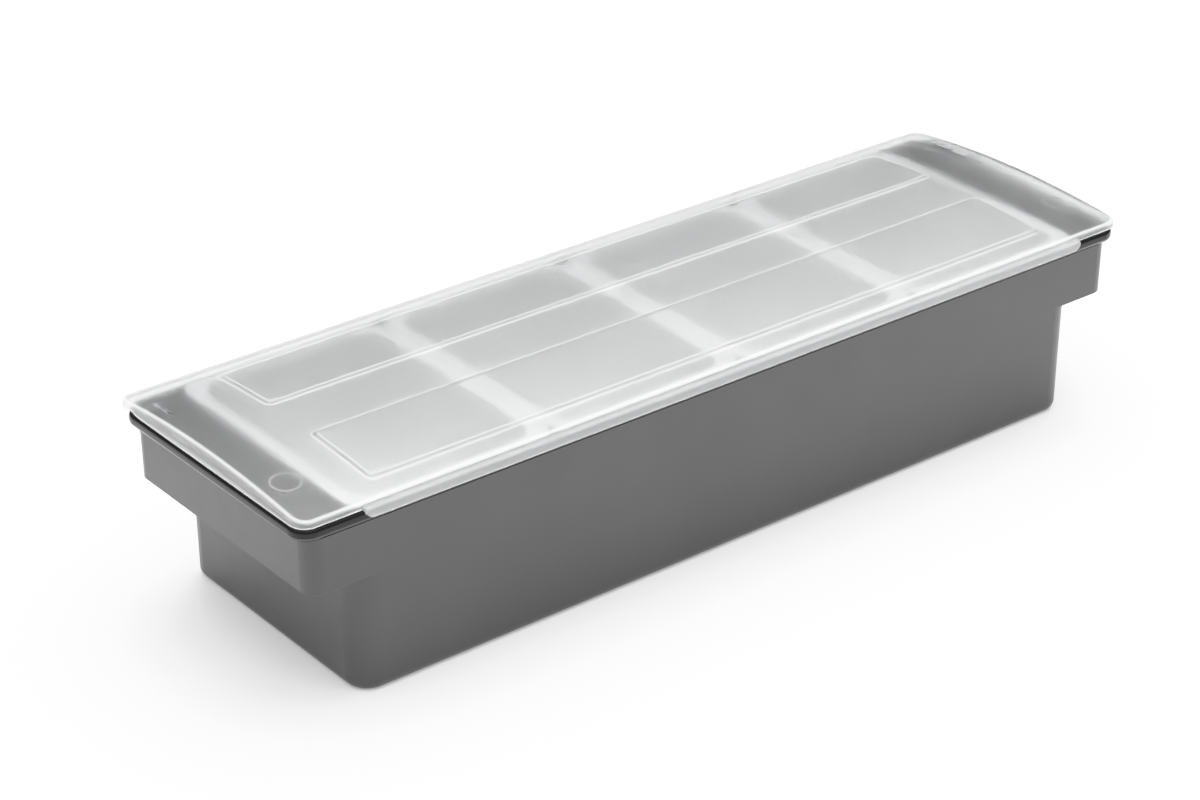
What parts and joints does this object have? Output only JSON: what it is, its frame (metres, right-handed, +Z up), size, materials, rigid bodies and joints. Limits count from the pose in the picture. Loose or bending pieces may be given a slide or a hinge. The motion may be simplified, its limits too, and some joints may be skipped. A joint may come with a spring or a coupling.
{
  "type": "condiment holder",
  "caption": "Long moulded condiment holder with stepped ends, lift-out trays hung by their flanges, and one arched hinged lid with a thumb flap.",
  "frame": {"origin": "on the surface that the holder stands on, under the middle of its outline", "axes": "+X along the length, +Y from the thumb flap towards the hinges, +Z up"},
  "size_m": [0.5, 0.154, 0.1046],
  "materials": {
    "base_plastic": "dark grey moulded plastic with a fine satin grain",
    "lid_plastic": "frosted translucent moulded plastic, glossier along its edges",
    "tray_plastic": "white food-grade moulded plastic"
  },
  "bodies": {
    "base": {"base": "base_plastic", "tray_1": "tray_plastic", "tray_2": "tray_plastic", "tray_3": "tray_plastic", "tray_4": "tray_plastic"},
    "lid": {"lid": "lid_plastic"}
  },
  "joints": [
    {"name": "lid_hinge", "type": "hinge", "parent": "base", "child": "lid", "pos_m": [0, 0.0648, 0.084], "axis": [-1, 0, 0], "range_deg": [0, 105]}
  ]
}
